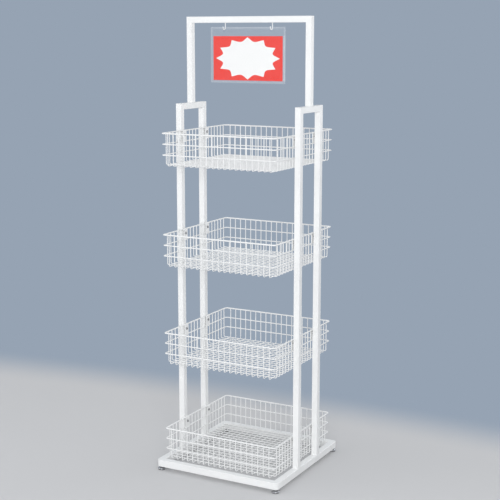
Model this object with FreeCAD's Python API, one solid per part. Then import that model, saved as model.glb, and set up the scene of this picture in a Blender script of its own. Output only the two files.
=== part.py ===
import FreeCAD, Part
import math
import os

# Fruit and vegetable rack: four welded wire baskets hang between two side frames of square tube, which
# stand on an open base frame with levelling feet. A header over the side frames carries a swinging sign.
# Millimetres. X points right, Y back and Z up; the origin is on the floor under the middle of the base.

# Flats that stand for a round, fewest on what repeats most
pad_sides = 24
thread_sides = 12         # studs, bolts and their holes
screw_sides = 8           # small screws and their holes
ring_sides = 6            # rims, rings and hooks
mesh_sides = 4
hole_sides = 16           # holes in the sign's sleeve

# Base frame of square tube
base_width = 500.0
base_depth = 500.0
base_tube = 25.0
base_wall = 1.5
base_corner = 15.0        # outside of the base's round corners
base_kinks = 3            # flats in half a corner

# Side frames and header, all of one lighter square tube
tube = 22.0
tube_wall = 1.2
tube_bevel = 1.2          # along the long edges of every tube
frame_above = 96.5        # top basket's rim to top of a side frame
header_height = 307.0     # top of a side frame to top of the header

# Wire baskets
basket_count = 4
basket_pitch = 360.0      # rim to rim
basket_setback = 22.5     # front and rear of the base to the rim
basket_clear = 0.5        # rim to upright, on each side
basket_lift = 1.0         # top of the base to the lowest basket's underside
rim_wire = 5.0
ring_wire = 4.0
mesh_wire = 3.0
ring_pitch = 38.0         # rim to middle ring, and on down to the low ring
floor_drop = 38.0         # low ring to the floor's lower wires
rings_below = 2
corner_radius = 12.0      # outside of the rim
corner_margin = 14.0      # end of a rim's round corner to the first wire
corner_kinks = 3
mesh_count = 19           # wires each way
mesh_bend = 5.0           # bend between wall and floor, middle of the wire
mesh_kinks = 2
lug_wires = 6             # wires of a side wall from its end to a lug
lug_thickness = 2.5
lug_clear = 0.6           # lug to the wires beside it
lug_below = 3.0           # lug's lower end under the middle ring

# Screws through the lugs into the uprights
screw_diameter = 5.0
screw_flats = 8.0
screw_head = 3.0
screw_drop = 15.0         # rim to screw
screw_past = 5.0          # end of the screw inside the upright
thread_fit = 0.1          # tapped hole wider than its screw
hole_clear = 0.8          # plain hole wider than its screw

# Levelling feet
foot_clear = 14.0         # floor to the underside of the base
foot_inset = 14.0         # sides of the base to the middle of a foot
foot_gap = 0.3            # between faces of pad, collar and base
pad_diameter = 28.0
pad_height = 9.0
pad_edge = 6.0            # height of the pad's upright edge
pad_neck = 17.0           # diameter of the pad's top
socket_depth = 5.0
stud_diameter = 8.0
stud_reach = 20.0         # underside of the base to the top of a stud
collar_flats = 13.0
nut_flats = 13.0
nut_height = 8.0

# Bolts that hold the uprights on the base
bolt_diameter = 8.0
bolt_flats = 13.0
bolt_head = 5.0
plug_height = 12.0
plug_fit = 0.1

# Spigots that the header's posts slide over
spigot_height = 60.0
spigot_wall = 1.5
spigot_fit = 0.3

# Sign and its hooks
hook_spacing = 189.0
hook_wire = 3.0
hook_radius = 8.0         # bend, middle of the wire
hook_drop = 24.5          # header bar to the middle of the wire at its lowest
hook_tip = 3.0            # tip above the middle of the bend
hook_kinks = 3
hang_gap = 0.4            # wire to the top of the sleeve's hole
sleeve_width = 298.0
sleeve_height = 195.0
sleeve_sheet = 0.3
sleeve_strip = 7.5        # above the holes
sleeve_hole = 9.0
card_border = 10.0        # sides of the sleeve to the card
card_headroom = 31.5      # top of the sleeve to the card
card_lift = 8.5           # bottom of the sleeve to the card
card_thickness = 0.3
card_room = 0.1           # pocket thicker than the card
card_side = 1.0           # card to the pocket's closed ends

# Heights and places that follow from these
base_top = foot_clear + base_tube
floor_depth = rings_below * ring_pitch + floor_drop
first_rim = base_top + basket_lift + mesh_wire / 2 + floor_depth
rim_heights = [first_rim + n * basket_pitch for n in range(basket_count)]
frame_top = rim_heights[-1] + frame_above
header_top = frame_top + header_height
bar_under = header_top - tube
basket_width = base_width - 2 * tube - 2 * basket_clear      # over the rim
basket_depth = base_depth - 2 * basket_setback
mesh_pitch_x = (basket_width - 2 * (corner_radius + corner_margin)) / (mesh_count - 1)
mesh_pitch_y = (basket_depth - 2 * (corner_radius + corner_margin)) / (mesh_count - 1)
wall_x = basket_width / 2 - rim_wire      # where the rings' inner sides meet the mesh
wall_y = basket_depth / 2 - rim_wire
upright_x = base_width / 2 - tube / 2
upright_y = mesh_pitch_y * (mesh_count / 2 - lug_wires)
foot_x = base_width / 2 - foot_inset
foot_y = base_depth / 2 - foot_inset
left_right = (("left", -1), ("right", 1))
front_rear = (("front", -1), ("rear", 1))

RIGHT = FreeCAD.Vector(1, 0, 0)
BACK = FreeCAD.Vector(0, 1, 0)
UP = FreeCAD.Vector(0, 0, 1)
nodes = {}


def square_tube(length, size, wall):
    """Hollow tube along +X from the origin, its long edges bevelled."""
    half = size / 2
    flat = half - tube_bevel
    bore = half - wall
    rim = [(half, -flat), (half, flat), (flat, half), (-flat, half),
           (-half, flat), (-half, -flat), (-flat, -half), (flat, -half)]
    hole = [(bore, -bore), (bore, bore), (-bore, bore), (-bore, -bore)]
    outside = Part.Face(Part.makePolygon([FreeCAD.Vector(0, y, z) for y, z in rim + rim[:1]]))
    inside = Part.Face(Part.makePolygon([FreeCAD.Vector(0, y, z) for y, z in hole + hole[:1]]))
    return outside.extrude(RIGHT * length).cut(inside.extrude(RIGHT * length))


def mitre_wedge(size):
    """Wedge that cuts a tube's start at 45 degrees and leaves its +Z side the longer."""
    spare = size / 2
    low = -size / 2 - spare
    corners = [(-spare, size / 2 + spare), (size + spare, low), (-spare, low), (-spare, size / 2 + spare)]
    profile = Part.Face(Part.makePolygon([FreeCAD.Vector(x, -size, z) for x, z in corners]))
    return profile.extrude(BACK * (2 * size))


def mitred_tube(length, size, wall, both_ends):
    """Tube along +X, mitred at its far end or at both ends, with its +Z side the longer."""
    piece = square_tube(length, size, wall)
    end = mitre_wedge(size)
    end.rotate(RIGHT * (length / 2), UP, 180)
    piece = piece.cut(end)
    if both_ends:
        piece = piece.cut(mitre_wedge(size))
    return piece


def placed(piece, start, along, outward):
    """Turns a piece made along +X to run along a direction, with its +Z side outward."""
    turn = FreeCAD.Rotation(along, outward.cross(along), outward, "XZY")
    piece.Placement = FreeCAD.Placement(start, turn)
    return piece


def flat_sided(sections, closed):
    """Solid with flat faces between like polygons, one after another."""
    count = len(sections)
    loops = [section + section[:1] for section in sections]
    faces = []
    for i in range(count if closed else count - 1):
        near = loops[i]
        far = loops[(i + 1) % count]
        for k in range(len(near) - 1):
            faces.append(Part.Face(Part.makePolygon([near[k], near[k + 1], far[k + 1], far[k], near[k]])))
    if not closed:
        faces.append(Part.Face(Part.makePolygon(loops[0])))
        faces.append(Part.Face(Part.makePolygon(loops[-1])))
    shell = Part.makeShell(faces)
    shell.sewShape()
    solid = Part.makeSolid(shell)
    if solid.Volume < 0:
        solid.reverse()
    return solid


def flats(across, sides):
    """Corners of a polygon with a width across flats, as pairs."""
    radius = across / 2 / math.cos(math.pi / sides)
    turns = [math.pi * (2 * k + 1) / sides for k in range(sides)]
    return [(radius * math.cos(a), radius * math.sin(a)) for a in turns]


def inside_round(diameter, sides):
    """Width across flats of a polygon that just turns inside a round."""
    return diameter * math.cos(math.pi / sides)


def turned_bar(steps, sides, start, way):
    """Bar along way whose steps give the distance from start and the width there."""
    sections = [[FreeCAD.Vector(u, v, at) for u, v in flats(across, sides)] for at, across in steps]
    bar = flat_sided(sections, False)
    bar.Placement = FreeCAD.Placement(start, FreeCAD.Rotation(UP, way))
    return bar


def drilled(piece, diameter, sides, start, way, depth):
    """Piece with a straight hole."""
    return piece.cut(turned_bar([(0, diameter), (depth, diameter)], sides, start, way))


def hex_screw(diameter, sides, length, head_flats, head, start, way):
    """Screw whose head sits on its seat at start and whose shank runs along way."""
    width = inside_round(diameter, sides)
    shank = turned_bar([(0, width), (length, width)], sides, start, way)
    return shank.fuse(turned_bar([(-head, head_flats), (0, head_flats)], 6, start, way)).removeSplitter()


def rounded(points, radius, kinks, closed):
    """Path whose corners turn in equal kinks along a round bend."""
    path = []
    count = len(points)
    for i, corner in enumerate(points):
        if not closed and i in (0, count - 1):
            path.append(corner)
            continue
        into = (corner - points[i - 1]).normalize()
        out = (points[(i + 1) % count] - corner).normalize()
        turn = into.getAngle(out)
        reach = radius * math.tan(turn / 2)
        half_run = radius * math.tan(turn / (2 * kinks))
        kink = FreeCAD.Rotation(into.cross(out), math.degrees(turn / kinks))
        at = corner - into * (reach - half_run)
        path.append(at)
        for _ in range(kinks - 1):
            into = kink.multVec(into)
            at = at + into * (2 * half_run)
            path.append(at)
    return path


def bent_wire(path, across, sides, normal, closed):
    """Wire that follows a path in the plane square to normal."""
    count = len(path)
    runs = count if closed else count - 1
    ways = [(path[(i + 1) % count] - path[i]).normalize() for i in range(runs)]
    sections = []
    for i, at in enumerate(path):
        into = ways[i - 1] if closed or i > 0 else ways[0]
        out = ways[i] if closed or i < runs else ways[-1]
        heading = (into + out).normalize()
        aside = normal.cross(heading) * (1 / heading.dot(out))
        sections.append([at + aside * u + normal * v for u, v in flats(across, sides)])
    return flat_sided(sections, closed)


# Base: four rails that meet on a mitre under round corners, with holes for the feet and the uprights' bolts
def rail_outline(length, inset, level):
    """Plan of a rail along +X at a level, set in from its faces, with its round corners on the +Z side."""
    half = base_tube / 2
    bend = base_corner - inset
    turns = [math.pi * (3 - k / base_kinks) / 4 for k in range(base_kinks + 1)]
    end = [(base_tube - inset, inset - half)]
    end += [(base_corner + bend * math.cos(a), half - base_corner + bend * math.sin(a)) for a in turns]
    outline = end + [(length - x, z) for x, z in reversed(end)]
    return [FreeCAD.Vector(x, level, z) for x, z in outline]


def base_rail(length, start, along, outward):
    half = base_tube / 2
    flat = half - tube_bevel
    bore = half - base_wall
    levels = [(-half, tube_bevel), (-flat, 0), (flat, 0), (half, tube_bevel)]
    rail = flat_sided([rail_outline(length, inset, level) for level, inset in levels], False)
    hollow = flat_sided([rail_outline(length, base_wall, level) for level in (-bore, bore)], False)
    rail = placed(rail.cut(hollow).removeSplitter(), start, along, outward)
    stud_hole = stud_diameter + hole_clear
    bolt_hole = bolt_diameter + hole_clear
    for x in (-foot_x, foot_x):
        for y in (-foot_y, foot_y):
            under = FreeCAD.Vector(x, y, 0)
            rail = drilled(rail, stud_hole, thread_sides, under, UP, foot_clear + 2 * base_wall)
    for x in (-upright_x, upright_x):
        for y in (-upright_y, upright_y):
            under = FreeCAD.Vector(x, y, 0)
            rail = drilled(rail, bolt_hole, thread_sides, under, UP, base_top + base_wall)
    return rail


rail_height = foot_clear + base_tube / 2
for end, y_sign in front_rear:
    start = FreeCAD.Vector(-base_width / 2, y_sign * (base_depth - base_tube) / 2, rail_height)
    nodes[f"base_{end}_rail"] = base_rail(base_width, start, RIGHT, BACK * y_sign)
for side, x_sign in left_right:
    start = FreeCAD.Vector(x_sign * (base_width - base_tube) / 2, -base_depth / 2, rail_height)
    nodes[f"base_{side}_rail"] = base_rail(base_depth, start, BACK, RIGHT * x_sign)


# Feet: a pad on the floor, a stud that turns in the pad, and a nut welded inside the base
def foot_pad(middle):
    steps = [(0, pad_diameter), (pad_edge, pad_diameter), (pad_height, pad_neck)]
    socket = middle + UP * (pad_height - socket_depth)
    pad = turned_bar(steps, pad_sides, middle, UP)
    return drilled(pad, stud_diameter + thread_fit, thread_sides, socket, UP, socket_depth)


def foot_stud(middle):
    bottom = pad_height - socket_depth + foot_gap
    collar = [(pad_height + foot_gap, collar_flats), (foot_clear - foot_gap, collar_flats)]
    width = inside_round(stud_diameter, thread_sides)
    stud = turned_bar([(bottom, width), (foot_clear + stud_reach, width)], thread_sides, middle, UP)
    return stud.fuse(turned_bar(collar, 6, middle, UP)).removeSplitter()


nuts = []
for end, y_sign in front_rear:
    for side, x_sign in left_right:
        middle = FreeCAD.Vector(x_sign * foot_x, y_sign * foot_y, 0)
        nodes[f"{end}_{side}_foot_pad"] = foot_pad(middle)
        nodes[f"{end}_{side}_foot_stud"] = foot_stud(middle)
        seat = middle + UP * (foot_clear + base_wall)
        nut = turned_bar([(0, nut_flats), (nut_height, nut_flats)], 6, seat, UP)
        nuts.append(drilled(nut, stud_diameter + thread_fit, thread_sides, seat, UP, nut_height))
nodes["foot_nuts"] = Part.makeCompound(nuts)


# Side frames: two uprights and a top bar each, mitred where they meet
def upright(x, y_sign):
    inward = -1 if x > 0 else 1
    start = FreeCAD.Vector(x, y_sign * upright_y, base_top)
    post = placed(mitred_tube(frame_top - base_top, tube, tube_wall, False), start, UP, BACK * y_sign)
    for rim in rim_heights:
        at = FreeCAD.Vector(x, y_sign * upright_y, rim - screw_drop)
        post = drilled(post, screw_diameter + thread_fit, screw_sides, at, RIGHT * inward, tube)
    return post


plugs = []
bolts = []
for side, x_sign in left_right:
    x = x_sign * upright_x
    for end, y_sign in front_rear:
        y = y_sign * upright_y
        nodes[f"{side}_{end}_upright"] = upright(x, y_sign)
        width = tube - 2 * tube_wall - 2 * plug_fit
        plug = Part.makeBox(width, width, plug_height, FreeCAD.Vector(x - width / 2, y - width / 2, base_top))
        seat = FreeCAD.Vector(x, y, base_top)
        plugs.append(drilled(plug, bolt_diameter + thread_fit, thread_sides, seat, UP, plug_height))
        seat = FreeCAD.Vector(x, y, foot_clear)
        length = base_tube + plug_height
        bolts.append(hex_screw(bolt_diameter, thread_sides, length, bolt_flats, bolt_head, seat, UP))
    start = FreeCAD.Vector(x, -upright_y - tube / 2, frame_top - tube / 2)
    bar_length = 2 * upright_y + tube
    nodes[f"{side}_top_bar"] = placed(mitred_tube(bar_length, tube, tube_wall, True), start, BACK, UP)
nodes["upright_plugs"] = Part.makeCompound(plugs)
nodes["upright_bolts"] = Part.makeCompound(bolts)

# Header: two posts that slide over spigots on the top bars, a bar across, and a screw behind each post
screw_height = frame_top + spigot_height / 2
spigot_width = tube - 2 * tube_wall - 2 * spigot_fit
spigots = []
header_screws = []
for side, x_sign in left_right:
    x = x_sign * upright_x
    post = placed(mitred_tube(header_height, tube, tube_wall, False), FreeCAD.Vector(x, 0, frame_top),
                  UP, RIGHT * x_sign)
    middle = FreeCAD.Vector(x, 0, screw_height)
    nodes[f"header_{side}_post"] = drilled(post, screw_diameter + hole_clear, screw_sides, middle, BACK, tube)
    spigot = placed(square_tube(spigot_height, spigot_width, spigot_wall), FreeCAD.Vector(x, 0, frame_top),
                    UP, RIGHT * x_sign)
    spigots.append(drilled(spigot, screw_diameter + thread_fit, screw_sides, middle, BACK, tube))
    seat = FreeCAD.Vector(x, tube / 2, screw_height)
    length = tube_wall + spigot_fit + spigot_wall + screw_past
    screw = hex_screw(screw_diameter, screw_sides, length, screw_flats, screw_head, seat, BACK * -1)
    header_screws.append(screw)
start = FreeCAD.Vector(-base_width / 2, 0, header_top - tube / 2)
nodes["header_top_bar"] = placed(mitred_tube(base_width, tube, tube_wall, True), start, RIGHT, UP)
nodes["header_spigots"] = Part.makeCompound(spigots)
nodes["header_screws"] = Part.makeCompound(header_screws)


# Baskets: welded wire, each with a rim, rings under it, two sets of U-shaped wires and four lugs
def ring(height, across):
    """Closed ring that lies around the mesh walls."""
    x = wall_x + across / 2
    y = wall_y + across / 2
    corners = [FreeCAD.Vector(-x, -y, height), FreeCAD.Vector(x, -y, height),
               FreeCAD.Vector(x, y, height), FreeCAD.Vector(-x, y, height)]
    radius = corner_radius - rim_wire + across / 2
    return bent_wire(rounded(corners, radius, corner_kinks, True), across, ring_sides, UP, True)


def mesh_wires(along, aside, reach, pitch, floor):
    """U-shaped wires side by side: down one wall, over the floor and up the wall opposite."""
    leg = along * (reach - mesh_wire / 2)
    top = UP * (rim_wire / 2)
    bottom = UP * floor
    points = [top - leg, bottom - leg, bottom + leg, top + leg]
    first = bent_wire(rounded(points, mesh_bend, mesh_kinks, False), mesh_wire, mesh_sides, aside, False)
    wires = []
    for k in range(mesh_count):
        copy = first.copy()
        copy.translate(aside * (pitch * (k - (mesh_count - 1) / 2)))
        wires.append(copy)
    return Part.makeCompound(wires)


def lug(x_sign, y):
    """Plate between two wires of a side wall, welded behind the rim and the middle ring."""
    width = mesh_pitch_y - mesh_wire - 2 * lug_clear
    height = ring_pitch + lug_below
    x = x_sign * (wall_x - lug_thickness / 2)
    corner = FreeCAD.Vector(x - lug_thickness / 2, y - width / 2, -height)
    plate = Part.makeBox(lug_thickness, width, height, corner)
    middle = FreeCAD.Vector(x - lug_thickness, y, -screw_drop)
    return drilled(plate, screw_diameter + hole_clear, screw_sides, middle, RIGHT, 2 * lug_thickness)


lower_rings = [ring(-ring_pitch * (n + 1), ring_wire) for n in range(rings_below)]
basket = {
    "rim": ring(0, rim_wire),
    "rings": Part.makeCompound(lower_rings),
    "long_wires": mesh_wires(BACK, RIGHT, wall_y, mesh_pitch_x, -floor_depth),
    "cross_wires": mesh_wires(RIGHT, BACK, wall_x, mesh_pitch_y, mesh_wire - floor_depth),
    "lugs": Part.makeCompound([lug(s, t * upright_y) for s in (-1, 1) for t in (-1, 1)]),
}
screws = []
for number, rim in enumerate(rim_heights, 1):
    for name, shape in basket.items():
        copy = shape.copy()
        copy.translate(UP * rim)
        nodes[f"basket_{number}_{name}"] = copy
    for x_sign in (-1, 1):
        for y_sign in (-1, 1):
            seat = FreeCAD.Vector(x_sign * (wall_x - lug_thickness), y_sign * upright_y, rim - screw_drop)
            length = lug_thickness + rim_wire + basket_clear + tube_wall + screw_past
            way = RIGHT * x_sign
            screws.append(hex_screw(screw_diameter, screw_sides, length, screw_flats, screw_head, seat, way))
nodes["basket_screws"] = Part.makeCompound(screws)


# Sign: a clear sleeve with a card in its pocket, hung by two holes on hooks under the header bar
def hook(x):
    low = bar_under - hook_drop
    front = -2 * hook_radius
    points = [FreeCAD.Vector(x, 0, bar_under), FreeCAD.Vector(x, 0, low), FreeCAD.Vector(x, front, low),
              FreeCAD.Vector(x, front, low + hook_radius + hook_tip)]
    return bent_wire(rounded(points, hook_radius, hook_kinks, False), hook_wire, ring_sides, RIGHT, False)


hook_places = (-hook_spacing / 2, hook_spacing / 2)
nodes["sign_hooks"] = Part.makeCompound([hook(x) for x in hook_places])
hang_height = bar_under - hook_drop + hook_wire / 2 + hang_gap
sleeve_bottom = hang_height + sleeve_strip - sleeve_height
pocket_thickness = card_thickness + card_room
sleeve_thickness = pocket_thickness + 2 * sleeve_sheet
corner = FreeCAD.Vector(-sleeve_width / 2, -hook_radius - sleeve_thickness / 2, sleeve_bottom)
sleeve = Part.makeBox(sleeve_width, sleeve_thickness, sleeve_height, corner)
card_width = sleeve_width - 2 * card_border
card_height = sleeve_height - card_lift - card_headroom
card_bottom = sleeve_bottom + card_lift
pocket_left = -card_width / 2 - card_side
corner = FreeCAD.Vector(pocket_left, -hook_radius - pocket_thickness / 2, card_bottom)
sleeve = sleeve.cut(Part.makeBox(sleeve_width, pocket_thickness, card_height + card_side, corner))
for x in hook_places:
    middle = FreeCAD.Vector(x, -2 * hook_radius, hang_height - sleeve_hole / 2)
    sleeve = drilled(sleeve, sleeve_hole, hole_sides, middle, BACK, 2 * hook_radius)
nodes["sign_sleeve"] = sleeve
corner = FreeCAD.Vector(-card_width / 2, -hook_radius - card_thickness / 2, card_bottom)
nodes["sign_card"] = Part.makeBox(card_width, card_thickness, card_height, corner)

os.makedirs("parts", exist_ok=True)
for name, shape in nodes.items():
    shape.exportStep(f"parts/{name}.step")
print(len(nodes), "nodes,", sum(len(shape.Solids) for shape in nodes.values()), "solids")
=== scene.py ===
import math

import bmesh
import bpy
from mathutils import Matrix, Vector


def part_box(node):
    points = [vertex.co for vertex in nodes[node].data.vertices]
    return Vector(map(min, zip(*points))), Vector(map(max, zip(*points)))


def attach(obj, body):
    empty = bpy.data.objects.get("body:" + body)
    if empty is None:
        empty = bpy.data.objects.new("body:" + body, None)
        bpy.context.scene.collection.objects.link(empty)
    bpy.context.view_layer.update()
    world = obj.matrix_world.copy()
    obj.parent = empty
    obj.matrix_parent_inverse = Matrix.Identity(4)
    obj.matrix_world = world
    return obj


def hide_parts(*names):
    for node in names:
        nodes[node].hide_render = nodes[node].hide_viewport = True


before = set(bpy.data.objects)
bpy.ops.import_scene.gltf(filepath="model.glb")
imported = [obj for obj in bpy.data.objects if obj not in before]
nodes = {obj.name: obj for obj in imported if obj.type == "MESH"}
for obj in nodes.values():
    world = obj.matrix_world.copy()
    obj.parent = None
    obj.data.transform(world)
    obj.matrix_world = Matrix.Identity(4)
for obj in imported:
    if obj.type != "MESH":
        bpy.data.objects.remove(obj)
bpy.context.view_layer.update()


# Base frame. Four lengths of square steel tube meet on mitres under round corners, welded and ground flush,
# then powder coated near white. The coat lies with a fine orange peel and a barely mottled tone.
def add_node(tree, kind, inputs=None, **settings):
    """New node, with each named input linked where a socket is given and set where a value is."""
    node = tree.nodes.new(kind)
    for label, value in settings.items():
        setattr(node, label, value)
    for label, value in (inputs or {}).items():
        if isinstance(value, bpy.types.NodeSocket):
            tree.links.new(value, node.inputs[label])
        else:
            node.inputs[label].default_value = value
    return node


def object_place(tree):
    """Place of a surface point on its piece, in metres."""
    return add_node(tree, "ShaderNodeTexCoord").outputs["Object"]


def soft_noise(tree, place, scale, detail):
    """Noise over a place."""
    inputs = {"Vector": place, "Scale": scale, "Detail": detail}
    return add_node(tree, "ShaderNodeTexNoise", inputs).outputs["Fac"]


def ranged(tree, value, start, end, to_start=0.0, to_end=1.0, way="LINEAR"):
    """Number that goes from to_start to to_end while the value goes from start to end."""
    inputs = {"Value": value, "From Min": start, "From Max": end, "To Min": to_start, "To Max": to_end}
    return add_node(tree, "ShaderNodeMapRange", inputs, interpolation_type=way).outputs["Result"]


def spread(tree, mottle, low, high):
    """The middle of a noise, spread from low to high."""
    noise_low, noise_high = 0.3, 0.7
    return ranged(tree, mottle, noise_low, noise_high, low, high)


def mixed(tree, share, first, second, way="MIX"):
    """Colour that goes from the first to the second as the share goes from 0 to 1."""
    sockets = {0: share, 6: first, 7: second}
    return add_node(tree, "ShaderNodeMix", sockets, data_type="RGBA", blend_type=way).outputs[2]


surface_grain = bpy.data.node_groups.new("surface_grain", "ShaderNodeTree")
for label in ("Mottle Scale", "Tone Low", "Tone High", "Rough Low", "Rough High", "Grain Scale"):
    surface_grain.interface.new_socket(label, in_out="INPUT", socket_type="NodeSocketFloat")
for label in ("Tone", "Roughness", "Height"):
    surface_grain.interface.new_socket(label, in_out="OUTPUT", socket_type="NodeSocketFloat")
given = surface_grain.nodes.new("NodeGroupInput").outputs
place = object_place(surface_grain)
mottle = soft_noise(surface_grain, place, given["Mottle Scale"], detail=3.0)
add_node(surface_grain, "NodeGroupOutput", {
    "Tone": spread(surface_grain, mottle, given["Tone Low"], given["Tone High"]),
    "Roughness": spread(surface_grain, mottle, given["Rough Low"], given["Rough High"]),
    "Height": soft_noise(surface_grain, place, given["Grain Scale"], detail=1.0)})
grain_depth = 0.0002


def raised(tree, shader, height, strength, depth):
    """Gives a shader its fine relief."""
    inputs = {"Height": height, "Strength": strength, "Distance": depth}
    bump = add_node(tree, "ShaderNodeBump", inputs)
    tree.links.new(bump.outputs["Normal"], shader.inputs["Normal"])


def new_material(name, metallic):
    """Bare finish, with its node tree and its shader."""
    material = bpy.data.materials.new(name)
    material.use_nodes = True
    shader = material.node_tree.nodes["Principled BSDF"]
    shader.inputs["Metallic"].default_value = metallic
    return material, material.node_tree, shader


def grained_material(name, colour, relief, mottle_scale, tone, rough, grain_scale, metallic=0.0):
    """Finish whose tone, gloss and fine relief come from the surface grain, with its tree and shader."""
    material, tree, shader = new_material(name, metallic)
    grain = add_node(tree, "ShaderNodeGroup", {
        "Mottle Scale": mottle_scale, "Tone Low": tone[0], "Tone High": tone[1], "Rough Low": rough[0],
        "Rough High": rough[1], "Grain Scale": grain_scale}, node_tree=surface_grain).outputs
    tinted = mixed(tree, 1.0, (*colour, 1.0), grain["Tone"], "MULTIPLY")
    tree.links.new(tinted, shader.inputs["Base Color"])
    tree.links.new(grain["Roughness"], shader.inputs["Roughness"])
    raised(tree, shader, grain["Height"], relief, grain_depth)
    return material, tree, shader


def finish_nodes(names, material):
    """Puts a finish on pieces that come with the frame."""
    for name in names:
        nodes[name].material_slots[0].material = material


white_coat, _, _ = grained_material(
    "white_coat", colour=(0.87, 0.875, 0.87), relief=0.12, mottle_scale=7.0, tone=(0.965, 1.0),
    rough=(0.3, 0.4), grain_scale=700.0)
finish_nodes([f"base_{side}_rail" for side in ("front", "rear", "left", "right")], white_coat)

# Fixings inside the base. Hex bolts come up from below into threaded plugs in the uprights, and weld nuts
# sit in the corners over the feet. All are cold-formed steel with bright zinc plating.
zinc_plate, _, _ = grained_material(
    "zinc_plate", colour=(0.62, 0.64, 0.67), relief=0.2, mottle_scale=160.0, tone=(0.85, 1.0),
    rough=(0.28, 0.42), grain_scale=1500.0, metallic=1.0)
finish_nodes(("upright_bolts", "upright_plugs", "foot_nuts"), zinc_plate)


# Pads of the levelling feet. Each is turned from steel bar, with a rounded lower edge, a sloping shoulder
# and a blind socket for its stud, then chromed over fine turning marks. Its lowest millimetres are darkened
# with painted shade, standing for the contact shadow and a painted dark reflection at the floor.
def turned(name, outline, steps, middle):
    """Piece turned about an upright axis from an outline of radius and height pairs."""
    merge_within, crease = 1e-7, 40.0
    corners, faces, runs = [], [], [0.0]
    for radius, height in outline:
        for k in range(steps):
            angle = 2 * math.pi * k / steps
            x, y = middle[0] + radius * math.cos(angle), middle[1] + radius * math.sin(angle)
            corners.append((x, y, height))
    for i, (near, far) in enumerate(zip(outline, outline[1:])):
        runs.append(runs[-1] + math.dist(near, far))
        this, above = i * steps, (i + 1) * steps
        for k in range(steps):
            after = (k + 1) % steps
            faces.append((this + k, this + after, above + after, above + k))
    mesh = bpy.data.meshes.new(name)
    mesh.from_pydata(corners, [], faces)
    wrap = mesh.uv_layers.new(name="turning")
    for face in mesh.polygons:
        i, k = divmod(face.index, steps)
        turn_marks = ((i, k), (i, k + 1), (i + 1, k + 1), (i + 1, k))
        for loop, (along, around) in zip(face.loop_indices, turn_marks):
            wrap.data[loop].uv = (runs[along], around / steps)
    shape = bmesh.new()
    shape.from_mesh(mesh)
    bmesh.ops.remove_doubles(shape, verts=shape.verts, dist=merge_within)
    shape.to_mesh(mesh)
    shape.free()
    mesh.shade_smooth()
    mesh.set_sharp_from_angle(angle=math.radians(crease))
    piece = bpy.data.objects.new(name, mesh)
    bpy.context.scene.collection.objects.link(piece)
    return piece


turned_chrome, tree, shader = new_material("turned_chrome", metallic=1.0)
wrap = add_node(tree, "ShaderNodeUVMap", uv_map="turning").outputs["UV"]
marks_along, marks_around = 9000.0, 1.5
lathe = add_node(tree, "ShaderNodeMapping", {"Vector": wrap, "Scale": (marks_along, marks_around, 1.0)})
marks = soft_noise(tree, lathe.outputs["Vector"], 1.0, detail=2.0)
place = object_place(tree)
haze_scale, dull_chrome, bright_chrome = 180.0, (0.47, 0.47, 0.48, 1.0), (0.58, 0.58, 0.59, 1.0)
haze = soft_noise(tree, place, haze_scale, detail=3.0)
plate = mixed(tree, haze, dull_chrome, bright_chrome)
height = add_node(tree, "ShaderNodeSeparateXYZ", {"Vector": place}).outputs["Z"]
# Painted shade: the chrome goes nearly black over the lowest millimetres of the pad, for contact shadow and
# dark reflection.
painted_shade_low, painted_shade_high, painted_shade_most, painted_shade_dark = 0.001, 0.003, 0.8, (0.09, 0.088, 0.085, 1.0)
painted_shade_share = ranged(tree, height, painted_shade_low, painted_shade_high, painted_shade_most, 0.0)
plate_with_painted_shade = mixed(tree, painted_shade_share, plate, painted_shade_dark)
tree.links.new(plate_with_painted_shade, shader.inputs["Base Color"])
tree.links.new(spread(tree, haze, low=0.08, high=0.2), shader.inputs["Roughness"])
raised(tree, shader, marks, strength=0.15, depth=0.0001)

feet = {}
for corner in [f"{end}_{side}" for end in ("front", "rear") for side in ("left", "right")]:
    pad_low, pad_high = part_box(f"{corner}_foot_pad")
    feet[corner] = (pad_low + pad_high) / 2
pad_radius, pad_top = (pad_high.x - pad_low.x) / 2, pad_high.z
pad_edge, neck_radius, pad_sides = 0.006, 0.0085, 48
socket_radius, socket_floor, socket_chamfer = 0.0041, 0.004, 0.0005
heel, heel_bulge = 0.0012, 0.00035
lip, lip_run = 0.0003, 0.001
pad_outline = [
    (0.0, 0.0), (pad_radius - heel, 0.0), (pad_radius - heel_bulge, heel_bulge), (pad_radius, heel),
    (pad_radius, pad_edge - 3 * lip), (pad_radius - lip, pad_edge - lip),
    (pad_radius - lip_run, pad_edge + lip), (neck_radius + 2 * lip, pad_top - lip), (neck_radius, pad_top),
    (socket_radius + socket_chamfer, pad_top), (socket_radius, pad_top - socket_chamfer),
    (socket_radius, socket_floor), (0.0, socket_floor)]
for corner, middle in feet.items():
    pad = turned(f"{corner}_pad_turned", pad_outline, pad_sides, middle)
    pad.data.materials.append(turned_chrome)
    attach(pad, f"{corner}_pad")
    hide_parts(f"{corner}_foot_pad")


# Studs of the levelling feet. Each is rolled M8 threaded rod with a hex collar that a spanner turns; it
# screws into the nut in the base and turns in the pad's socket. Chromed like the pad.
def geometry_tree(name, **inputs):
    """Empty geometry tree, its input sockets by name and kind, and the socket that takes its result."""
    made = bpy.data.node_groups.new(name, "GeometryNodeTree")
    for label, kind in inputs.items():
        socket_name = label.replace("_", " ").title()
        made.interface.new_socket(socket_name, in_out="INPUT", socket_type=f"NodeSocket{kind}")
    made.interface.new_socket("Geometry", in_out="OUTPUT", socket_type="NodeSocketGeometry")
    start, end = made.nodes.new("NodeGroupInput"), made.nodes.new("NodeGroupOutput")
    return made, start.outputs, end.inputs["Geometry"]


def worked(tree, operation, *values):
    """Number worked out from others."""
    return add_node(tree, "ShaderNodeMath", dict(enumerate(values)), operation=operation).outputs["Value"]


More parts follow.
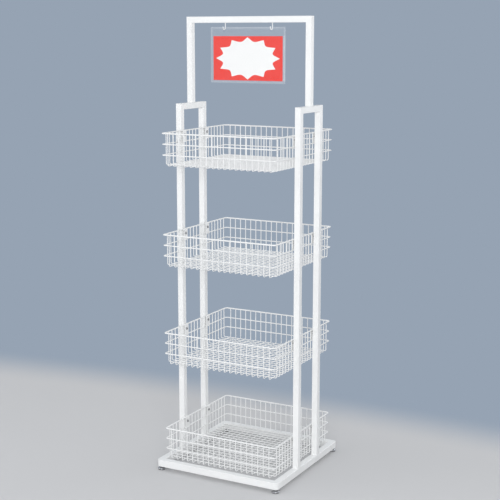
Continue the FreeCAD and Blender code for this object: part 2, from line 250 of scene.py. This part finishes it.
def vector(tree, **axes):
    """Vector of the named axes, with nought along the others."""
    return add_node(tree, "ShaderNodeCombineXYZ", axes).outputs["Vector"]


def joined(tree, *shapes):
    """All the shapes as one geometry."""
    join = tree.nodes.new("GeometryNodeJoinGeometry")
    for shape in shapes:
        tree.links.new(shape, join.inputs["Geometry"])
    return join.outputs["Geometry"]


def moved(tree, shape, place=(0.0, 0.0, 0.0), rotation=(0.0, 0.0, 0.0)):
    """The shape turned and moved to its place."""
    inputs = {"Geometry": shape, "Translation": place, "Rotation": rotation}
    return add_node(tree, "GeometryNodeTransform", inputs).outputs["Geometry"]


def coated(tree, shape, material, crease):
    """The shape made real, shaded smooth up to a crease in degrees and given its material."""
    shape = add_node(tree, "GeometryNodeRealizeInstances", {"Geometry": shape}).outputs["Geometry"]
    shape = add_node(tree, "GeometryNodeSetShadeSmooth", {"Geometry": shape}).outputs["Geometry"]
    bend = add_node(tree, "GeometryNodeInputMeshEdgeAngle").outputs["Unsigned Angle"]
    sharp = add_node(tree, "FunctionNodeCompare", {0: bend, 1: math.radians(crease)},
                     operation="GREATER_THAN", data_type="FLOAT").outputs["Result"]
    edges = {"Geometry": shape, "Selection": sharp, "Shade Smooth": False}
    shape = add_node(tree, "GeometryNodeSetShadeSmooth", edges, domain="EDGE").outputs["Geometry"]
    finish = {"Geometry": shape, "Material": material}
    return add_node(tree, "GeometryNodeSetMaterial", finish).outputs["Geometry"]


def round_bar(tree, sides, radius, length):
    """Round bar about an upright axis, with its middle at the origin."""
    inputs = {"Vertices": sides, "Radius": radius, "Depth": length}
    return add_node(tree, "GeometryNodeMeshCylinder", inputs).outputs["Mesh"]


def taper(tree, sides, bottom, top, length):
    """Tapered round bar about an upright axis, from the origin up."""
    inputs = {"Vertices": sides, "Radius Bottom": bottom, "Radius Top": top, "Depth": length}
    return add_node(tree, "GeometryNodeMeshCone", inputs).outputs["Mesh"]


def chamfered_hex(tree, flats, thickness, chamfer):
    """Hex block about an upright axis, from the origin up, with its two ends chamfered."""
    sides, slope = 6, 1.7
    radius = flats / math.sqrt(3)
    middle = round_bar(tree, sides, radius, thickness - 2 * chamfer)
    cap = taper(tree, sides, radius, radius - slope * chamfer, chamfer)
    return joined(tree, moved(tree, middle, (0.0, 0.0, thickness / 2)),
                  moved(tree, cap, (0.0, 0.0, thickness - chamfer)),
                  moved(tree, cap, (0.0, 0.0, chamfer), (math.pi, 0.0, 0.0)))


def round_wire(tree, path, wire, sides, capped):
    """Round wire along a path."""
    radius = worked(tree, "MULTIPLY", wire, 0.5)
    section = add_node(tree, "GeometryNodeCurvePrimitiveCircle", {"Resolution": sides, "Radius": radius})
    inputs = {"Curve": path, "Profile Curve": section.outputs["Curve"], "Fill Caps": capped}
    return add_node(tree, "GeometryNodeCurveToMesh", inputs).outputs["Mesh"]


def grown(name, tree, values, seats=()):
    """Piece that a geometry tree makes from its named values, on seat points where it needs them."""
    piece = bpy.data.objects.new(name, bpy.data.meshes.new(name))
    bpy.context.scene.collection.objects.link(piece)
    if seats:
        piece.data.from_pydata([seat[:3] for seat in seats], [], [])
        heading = piece.data.attributes.new("heading", "FLOAT", "POINT")
        heading.data.foreach_set("value", [seat[3] for seat in seats])
    maker = piece.modifiers.new("maker", "NODES")
    maker.node_group = tree
    for socket in tree.interface.items_tree:
        if socket.in_out == "INPUT" and socket.name in values:
            maker[socket.identifier] = values[socket.name]
    start = piece.data
    evaluated = piece.evaluated_get(bpy.context.evaluated_depsgraph_get())
    made = bpy.data.meshes.new_from_object(evaluated)
    piece.modifiers.remove(maker)
    piece.data = made
    bpy.data.meshes.remove(start)
    made.name = name
    return piece


threaded_stud, given, result = geometry_tree(
    "threaded_stud", foot="Vector", bottom="Float", length="Float", pitch="Float", finish="Material")
rod_radius, rod_sides = 0.00365, 24
ridge_wire, ridge_sides = 0.00068, 5
length = given["Length"]
rod = round_bar(threaded_stud, rod_sides, rod_radius, length)
helix = add_node(threaded_stud, "GeometryNodeCurveSpiral", {
    "Resolution": rod_sides, "Rotations": worked(threaded_stud, "DIVIDE", length, given["Pitch"]),
    "Start Radius": rod_radius, "End Radius": rod_radius, "Height": length}).outputs["Curve"]
thread = round_wire(threaded_stud, helix, ridge_wire, ridge_sides, capped=True)
half_up = vector(threaded_stud, Z=worked(threaded_stud, "MULTIPLY", length, 0.5))
stem = joined(threaded_stud, moved(threaded_stud, rod, half_up), thread)
foot_gap, collar_flats, collar_chamfer = 0.0003, 0.013, 0.0005
collar_bottom = pad_top + foot_gap
collar_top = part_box("base_front_rail")[0].z - foot_gap
collar = chamfered_hex(threaded_stud, collar_flats, collar_top - collar_bottom, collar_chamfer)
whole = joined(threaded_stud, moved(threaded_stud, stem, vector(threaded_stud, Z=given["Bottom"])),
               moved(threaded_stud, collar, (0.0, 0.0, collar_bottom)))
whole = moved(threaded_stud, whole, given["Foot"])
threaded_stud.links.new(coated(threaded_stud, whole, given["Finish"], crease=30.0), result)

stud_chrome, _, _ = grained_material(
    "stud_chrome", colour=(0.58, 0.585, 0.6), relief=0.15, mottle_scale=220.0, tone=(0.85, 1.0),
    rough=(0.1, 0.24), grain_scale=2500.0, metallic=1.0)
thread_pitch = 0.00125
for corner, middle in feet.items():
    stud_low, stud_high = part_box(f"{corner}_foot_stud")
    stud = grown(f"{corner}_stud_threaded", threaded_stud, {
        "Foot": (middle.x, middle.y, 0.0), "Bottom": stud_low.z, "Length": stud_high.z - stud_low.z,
        "Pitch": thread_pitch, "Finish": stud_chrome})
    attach(stud, f"{corner}_stud")
    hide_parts(f"{corner}_foot_stud")

# Side frames. Each is an upside-down U of lighter square tube, mitred, welded and coated with the base's
# white. Its uprights stand on the base and are drilled and tapped for the baskets' screws.
for side in ("left", "right"):
    finish_nodes((f"{side}_front_upright", f"{side}_rear_upright", f"{side}_top_bar"), white_coat)


# Wire baskets. Straight wires are bent to a U in two sets that cross on the floor; a rim and two rings go
# round the walls, and every crossing is spot welded before the basket is coated white.
def filleted(tree, path, radius, kinks):
    """The path with its corners rounded."""
    inputs = {"Curve": path, "Count": kinks, "Radius": radius}
    return add_node(tree, "GeometryNodeFilletCurve", inputs, mode="POLY").outputs["Curve"]


def made_by(tree, maker, inputs):
    """What another geometry tree makes from its named inputs."""
    return add_node(tree, "GeometryNodeGroup", inputs, node_tree=maker).outputs["Geometry"]


def point_row(tree, count, start, step):
    """Row of points."""
    inputs = {"Count": count, "Start Location": start, "Offset": step}
    return add_node(tree, "GeometryNodeMeshLine", inputs).outputs["Mesh"]


def point_grid(tree, width, depth, across, deep):
    """Grid of points about the origin."""
    inputs = {"Size X": width, "Size Y": depth, "Vertices X": across, "Vertices Y": deep}
    return add_node(tree, "GeometryNodeMeshGrid", inputs).outputs["Mesh"]


def copied(tree, shape, points, **inputs):
    """A copy of the shape on each point."""
    inputs = {"Points": points, "Instance": shape, **inputs}
    return add_node(tree, "GeometryNodeInstanceOnPoints", inputs).outputs["Instances"]


bent_wire, given, result = geometry_tree(
    "bent_wire", start="Vector", first_bend="Vector", second_bend="Vector", end="Vector",
    bend_radius="Float", wire="Float")
path = add_node(bent_wire, "GeometryNodeCurvePrimitiveQuadrilateral", {
    "Point 1": given["Start"], "Point 2": given["First Bend"], "Point 3": given["Second Bend"],
    "Point 4": given["End"]}, mode="POINTS").outputs["Curve"]
path = add_node(bent_wire, "GeometryNodeSetSplineCyclic", {"Geometry": path, "Cyclic": False})
path = filleted(bent_wire, path.outputs["Geometry"], given["Bend Radius"], kinks=5)
bent_wire.links.new(round_wire(bent_wire, path, given["Wire"], sides=10, capped=True), result)

closed_ring, given, result = geometry_tree("closed_ring", side="Float", corner_radius="Float", wire="Float")
path = add_node(closed_ring, "GeometryNodeCurvePrimitiveQuadrilateral", {
    "Width": given["Side"], "Height": given["Side"]}, mode="RECTANGLE").outputs["Curve"]
path = filleted(closed_ring, path, given["Corner Radius"], kinks=6)
closed_ring.links.new(round_wire(closed_ring, path, given["Wire"], sides=12, capped=False), result)

basket_numbers = range(1, 5)
rim_wire, ring_wire, mesh_wire = 0.005, 0.004, 0.003
ring_count, corner_inside = 2, 0.007
mesh_count, mesh_bend = 19, 0.005
rims = [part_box(f"basket_{number}_rim") for number in basket_numbers]
rim_heights = [(low.z + high.z) / 2 for low, high in rims]
wall = rims[0][1].x - rim_wire
wires_low, wires_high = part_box("basket_1_long_wires")
mesh_pitch = (wires_high.x - wires_low.x - mesh_wire) / (mesh_count - 1)
floor_drop = rim_heights[0] - wires_low.z - mesh_wire / 2
rings_low, rings_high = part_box("basket_1_rings")
ring_pitch = (rim_heights[0] - (rings_low.z + rings_high.z) / 2) / ((ring_count + 1) / 2)
wire_basket, given, result = geometry_tree(
    "wire_basket", rim_height="Float", wires="Int", wire_pitch="Float", ring_pitch="Float",
    finish="Material")
gaps = worked(wire_basket, "SUBTRACT", given["Wires"], 1.0)
row_length = worked(wire_basket, "MULTIPLY", gaps, given["Wire Pitch"])
first = worked(wire_basket, "MULTIPLY", row_length, -0.5)


def wire_row(along, aside, floor):
    """Row of U-shaped wires that run along one axis and lie side by side on the other."""
    leg, top = wall - mesh_wire / 2, rim_wire / 2
    ends = [(side * leg, 0.0, height) if along == "X" else (0.0, side * leg, height)
            for side, height in ((-1, top), (-1, floor), (1, floor), (1, top))]
    one = made_by(wire_basket, bent_wire, {
        "Start": ends[0], "First Bend": ends[1], "Second Bend": ends[2], "End": ends[3],
        "Bend Radius": mesh_bend, "Wire": mesh_wire})
    start, step = vector(wire_basket, **{aside: first}), vector(wire_basket, **{aside: given["Wire Pitch"]})
    return copied(wire_basket, one, point_row(wire_basket, given["Wires"], start, step))


def wall_ring(wire):
    """Closed ring that goes round the outside of the walls."""
    return made_by(wire_basket, closed_ring, {
        "Side": 2 * wall + wire, "Corner Radius": corner_inside + wire / 2, "Wire": wire})


shapes = [wire_row("Y", "X", -floor_drop), wire_row("X", "Y", mesh_wire - floor_drop), wall_ring(rim_wire)]
step = vector(wire_basket, Z=worked(wire_basket, "MULTIPLY", given["Ring Pitch"], -1.0))
shapes.append(copied(wire_basket, wall_ring(ring_wire), point_row(wire_basket, ring_count, step, step)))
weld_radius, floor_weld, wall_weld = 0.0021, (1.0, 1.0, 0.55), (0.9, 0.5, 0.9)
nugget = add_node(wire_basket, "GeometryNodeMeshIcoSphere", {"Radius": weld_radius, "Subdivisions": 1})
nugget = nugget.outputs["Mesh"]
crossings = point_grid(wire_basket, row_length, row_length, given["Wires"], given["Wires"])
crossings = moved(wire_basket, crossings, (0.0, 0.0, mesh_wire / 2 - floor_drop))
shapes.append(copied(wire_basket, nugget, crossings, Scale=floor_weld))
levels = point_row(wire_basket, ring_count + 1, (0.0, 0.0, 0.0), step)
for quarter in (0.0, math.pi / 2):
    wire_legs = point_grid(wire_basket, row_length, 2 * wall, given["Wires"], 2)
    welds = copied(wire_basket, nugget, wire_legs, Scale=wall_weld)
    welds = moved(wire_basket, welds, rotation=(0.0, 0.0, quarter))
    shapes.append(copied(wire_basket, welds, levels))
whole = moved(wire_basket, joined(wire_basket, *shapes), vector(wire_basket, Z=given["Rim Height"]))
wire_basket.links.new(coated(wire_basket, whole, given["Finish"], crease=50.0), result)

for number, rim_height in zip(basket_numbers, rim_heights):
    basket = grown(f"basket_{number}_welded", wire_basket, {
        "Rim Height": rim_height, "Wires": mesh_count, "Wire Pitch": mesh_pitch, "Ring Pitch": ring_pitch,
        "Finish": white_coat})
    parts = [f"basket_{number}_{part}" for part in ("rim", "rings", "long_wires", "cross_wires")]
    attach(basket, "rack")
    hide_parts(*parts)

# Lugs and screws. Flat steel lugs are welded behind rim and ring, four to a basket, and coated with it; a
# dark plated hex screw with a flange goes through each lug into the upright.
finish_nodes([f"basket_{number}_lugs" for number in basket_numbers], white_coat)
flange_screws, given, result = geometry_tree(
    "flange_screws", geometry="Geometry", shank="Float", shank_length="Float", finish="Material")
flange_radius, flange_top, flange_thickness, flange_sides = 0.0049, 0.0046, 0.0008, 20
head_flats, head_height, head_chamfer = 0.008, 0.003, 0.0004
shank_width, shank_sides = 0.0048, 12
flange = taper(flange_screws, flange_sides, flange_radius, flange_top, flange_thickness)
head = chamfered_hex(flange_screws, head_flats, head_height, head_chamfer)
shank = round_bar(flange_screws, shank_sides, worked(flange_screws, "MULTIPLY", given["Shank"], 0.5),
                  given["Shank Length"])
half_down = vector(flange_screws, Z=worked(flange_screws, "MULTIPLY", given["Shank Length"], -0.5))
screw = joined(flange_screws, flange, head, moved(flange_screws, shank, half_down))
heading = add_node(flange_screws, "GeometryNodeInputNamedAttribute", {"Name": "heading"}, data_type="FLOAT")
facing = vector(flange_screws, Y=math.pi / 2, Z=heading.outputs["Attribute"])
screws = copied(flange_screws, screw, given["Geometry"], Rotation=facing)
flange_screws.links.new(coated(flange_screws, screws, given["Finish"], crease=30.0), result)

dark_plate, _, _ = grained_material(
    "dark_plate", colour=(0.4, 0.4, 0.41), relief=0.2, mottle_scale=240.0, tone=(0.75, 1.0),
    rough=(0.32, 0.5), grain_scale=2000.0, metallic=0.8)
lug_thickness, screw_drop = 0.0025, 0.015
upright_low, upright_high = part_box("right_rear_upright")
upright_y = (upright_low.y + upright_high.y) / 2
lug_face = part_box("basket_1_lugs")[1].x - lug_thickness
lug_seats = [(x * lug_face, y * upright_y, rim_height - screw_drop, 0.0 if x < 0 else math.pi)
             for rim_height in rim_heights for x in (-1, 1) for y in (-1, 1)]
screw_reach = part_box("basket_screws")[1].x - lug_face
screws = grown("basket_flange_screws", flange_screws, {
    "Shank": shank_width, "Shank Length": screw_reach, "Finish": dark_plate}, lug_seats)
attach(screws, "rack")
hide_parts("basket_screws")

# Header. An upside-down U of the side frames' tube slides over square spigots on their top bars and is
# pinned by a dark flange screw behind each post; its coat is the same white.
finish_nodes(("header_left_post", "header_right_post", "header_top_bar", "header_spigots"), white_coat)
spigots_low, spigots_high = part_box("header_spigots")
pin_height, pin_reach = (spigots_low.z + spigots_high.z) / 2, 0.0092
post_seats = []
for side in ("left", "right"):
    post_low, post_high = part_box(f"header_{side}_post")
    post_seats.append(((post_low.x + post_high.x) / 2, post_high.y, pin_height, math.pi / 2))
screws = grown("header_flange_screws", flange_screws, {
    "Shank": shank_width, "Shank Length": pin_reach, "Finish": dark_plate}, post_seats)
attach(screws, "rack")
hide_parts("header_screws")

# Sign hooks. Two J-shaped bends of thin wire, each with a small weld where it meets the underside of the
# header's bar, coated white with it.
sign_hooks, given, result = geometry_tree(
    "sign_hooks", spacing="Float", bar_under="Float", finish="Material")
hook_wire, hook_radius, hook_drop, hook_tip = 0.003, 0.008, 0.0245, 0.003
hook_front, bend_ease = -2 * hook_radius, 0.00005
one = made_by(sign_hooks, bent_wire, {
    "Start": (0.0, 0.0, 0.0), "First Bend": (0.0, 0.0, -hook_drop),
    "Second Bend": (0.0, hook_front, -hook_drop),
    "End": (0.0, hook_front, hook_radius + hook_tip - hook_drop),
    "Bend Radius": hook_radius - bend_ease, "Wire": hook_wire})
bead_radius, bead_tip, bead_length, bead_sides = 0.0032, 0.0016, 0.0018, 16
bead = taper(sign_hooks, bead_sides, bead_radius, bead_tip, bead_length)
hook = joined(sign_hooks, one, moved(sign_hooks, bead, rotation=(math.pi, 0.0, 0.0)))
half_left = worked(sign_hooks, "MULTIPLY", given["Spacing"], -0.5)
pair = point_row(sign_hooks, 2, vector(sign_hooks, X=half_left, Z=given["Bar Under"]),
                 vector(sign_hooks, X=given["Spacing"]))
hooks = copied(sign_hooks, hook, pair)
sign_hooks.links.new(coated(sign_hooks, hooks, given["Finish"], crease=50.0), result)
hook_spacing, bar_under = 0.189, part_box("header_top_bar")[0].z
hooks = grown("sign_hooks_bent", sign_hooks, {
    "Spacing": hook_spacing, "Bar Under": bar_under, "Finish": white_coat})
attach(hooks, "rack")
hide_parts("sign_hooks")


# Sleeve of the sign. Two sheets of clear soft plastic are welded along three sides to make a pocket, with
# a strip above it that is punched for the hooks. The welds and cut edges look a little milky.
def vector_worked(tree, operation, *values):
    """Vector worked out from others, or the length of one."""
    node = add_node(tree, "ShaderNodeVectorMath", dict(enumerate(values)), operation=operation)
    return node.outputs["Value" if operation == "LENGTH" else "Vector"]


clear_sheet, tree, shader = grained_material(
    "clear_sheet", colour=(0.93, 0.95, 0.97), relief=0.05, mottle_scale=14.0, tone=(0.95, 1.0),
    rough=(0.08, 0.16), grain_scale=300.0)
sleeve_low, sleeve_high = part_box("sign_sleeve")
half_size = (sleeve_high - sleeve_low) / 2
local = vector_worked(tree, "SUBTRACT", object_place(tree), tuple((sleeve_low + sleeve_high) / 2))
local = vector_worked(tree, "ABSOLUTE", local)
axes = add_node(tree, "ShaderNodeSeparateXYZ", {"Vector": local}).outputs
from_side = worked(tree, "SUBTRACT", half_size.x, axes["X"])
from_end = worked(tree, "SUBTRACT", half_size.z, axes["Z"])
from_edge = worked(tree, "MINIMUM", from_side, from_end)
edge_start, edge_end, edge_veil, middle_veil = 0.0005, 0.009, 0.13, 0.035
milky = ranged(tree, from_edge, edge_start, edge_end, edge_veil, middle_veil)
tree.links.new(milky, shader.inputs["Alpha"])
finish_nodes(("sign_sleeve",), clear_sheet)

# Card of the sign. Coated board, printed red on both faces with a plain white burst of even points in the
# middle, left blank to be written on.
printed_board, tree, shader = grained_material(
    "printed_board", colour=(0.82, 0.018, 0.003), relief=0.1, mottle_scale=90.0, tone=(0.96, 1.0),
    rough=(0.42, 0.52), grain_scale=1200.0)
shader.inputs["Specular IOR Level"].default_value = 0.25
card_low, card_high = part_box("sign_card")
local = vector_worked(tree, "SUBTRACT", object_place(tree), tuple((card_low + card_high) / 2))
axes = add_node(tree, "ShaderNodeSeparateXYZ", {"Vector": local}).outputs
burst_width, burst_height, burst_points, burst_depth = 0.128, 0.0735, 12.0, 0.19
blank_white, print_blur = (0.86, 0.86, 0.85, 1.0), 0.004
across = worked(tree, "DIVIDE", axes["X"], burst_width)
up = worked(tree, "DIVIDE", axes["Z"], burst_height)
reach = vector_worked(tree, "LENGTH", vector(tree, X=across, Y=up))
angle = worked(tree, "ARCTAN2", up, across)
share = worked(tree, "MULTIPLY", angle, burst_points / (2 * math.pi))
to_tip = worked(tree, "PINGPONG", share, 0.5)
bow = worked(tree, "SINE", worked(tree, "MULTIPLY", to_tip, math.pi))
bow = worked(tree, "MULTIPLY_ADD", bow, -burst_depth, 1.0)
blank = ranged(tree, worked(tree, "SUBTRACT", bow, reach), -print_blur, print_blur)
ink = shader.inputs["Base Color"].links[0].from_socket
tree.links.new(mixed(tree, blank, ink, blank_white), shader.inputs["Base Color"])
finish_nodes(("sign_card",), printed_board)

# Studio floor and sweep. A plain pale floor turns up into a plain wall all round, matt and without a seam;
# away from the rack it goes over into an even grey blue, which metal and clear plastic show too.
floor_radius, sweep_radius, wall_top, sweep_sides = 5.0, 4.0, 6.0, 96
sweep_outline = [(0.0, 0.0), (floor_radius, 0.0)]
for degrees in range(10, 91, 10):
    angle = math.radians(degrees)
    out, rise = sweep_radius * math.sin(angle), sweep_radius * (1.0 - math.cos(angle))
    sweep_outline.append((floor_radius + out, rise))
sweep_outline.append((floor_radius + sweep_radius, wall_top))
sweep = turned("studio_sweep", sweep_outline[::-1], sweep_sides, (0.0, 0.0))
studio_paper, tree, shader = grained_material(
    "studio_paper", colour=(0.6, 0.6, 0.605), relief=0.02, mottle_scale=0.6, tone=(0.985, 1.0),
    rough=(0.75, 0.85), grain_scale=60.0)
pale_middle, pale_shape = (0.0, -0.3, 0.0), (0.3, 1.0, 0.0)
pale_start, pale_end = 0.8, 1.2
on_floor = vector_worked(tree, "SUBTRACT", object_place(tree), pale_middle)
on_floor = vector_worked(tree, "MULTIPLY", on_floor, pale_shape)
far = ranged(tree, vector_worked(tree, "LENGTH", on_floor), pale_start, pale_end, way="SMOOTHSTEP")
rays = add_node(tree, "ShaderNodeLightPath").outputs
seen = worked(tree, "MAXIMUM", rays["Is Camera Ray"], rays["Is Glossy Ray"])
seen = worked(tree, "MAXIMUM", seen, rays["Is Transmission Ray"])
wall_colour = (0.305, 0.366, 0.451, 1.0)
wall_tone = add_node(tree, "ShaderNodeEmission", {"Color": wall_colour, "Strength": 1.0})
surface = add_node(tree, "ShaderNodeMixShader", {
    0: worked(tree, "MULTIPLY", far, seen), 1: shader.outputs["BSDF"], 2: wall_tone.outputs["Emission"]})
tree.links.new(surface.outputs["Shader"], tree.nodes["Material Output"].inputs["Surface"])
sweep.data.materials.append(studio_paper)


# Studio light and camera. A large soft lamp stands beside the camera at head height, weaker ones on the
# left and at the rear right, under an even sky; the camera stands at eye height, front right.
def soft_light(name, place, target, width, watts):
    """Square area light aimed at a point."""
    lamp = bpy.data.lights.new(name, "AREA")
    lamp.size = width
    lamp.energy = watts
    light = bpy.data.objects.new(name, lamp)
    light.location = place
    light.visible_camera = False
    towards = [t - p for t, p in zip(target, place)]
    flat = math.hypot(towards[0], towards[1])
    light.rotation_euler = (math.atan2(flat, -towards[2]), 0.0, math.atan2(-towards[0], towards[1]))
    bpy.context.scene.collection.objects.link(light)


rack_middle = (0.0, 0.0, 0.9)
soft_light("front_lamp", (2.2, -4.0, 1.9), rack_middle, width=2.0, watts=113.0)
soft_light("left_lamp", (-3.6, -2.4, 1.6), rack_middle, width=2.4, watts=42.0)
soft_light("rear_lamp", (2.0, 4.0, 1.8), rack_middle, width=2.4, watts=34.0)
world = bpy.data.worlds.new("studio_sky")
world.use_nodes = True
sky = world.node_tree.nodes["Background"].inputs
sky["Color"].default_value = (0.94, 0.965, 1.0, 1.0)
sky["Strength"].default_value = 0.83
bpy.context.scene.world = world

camera_tilt, camera_turn = 0.1838, 0.499
camera = bpy.data.objects.new("camera", bpy.data.cameras.new("camera"))
camera.location = (1.9928, -3.6465, 1.5764)
camera.rotation_euler = (math.pi / 2 - camera_tilt, 0.0, camera_turn)
camera.data.lens = 83.51
camera.data.sensor_width = 36.0
bpy.context.scene.collection.objects.link(camera)
bpy.context.scene.camera = camera
bpy.context.scene.view_settings.view_transform = "Standard"
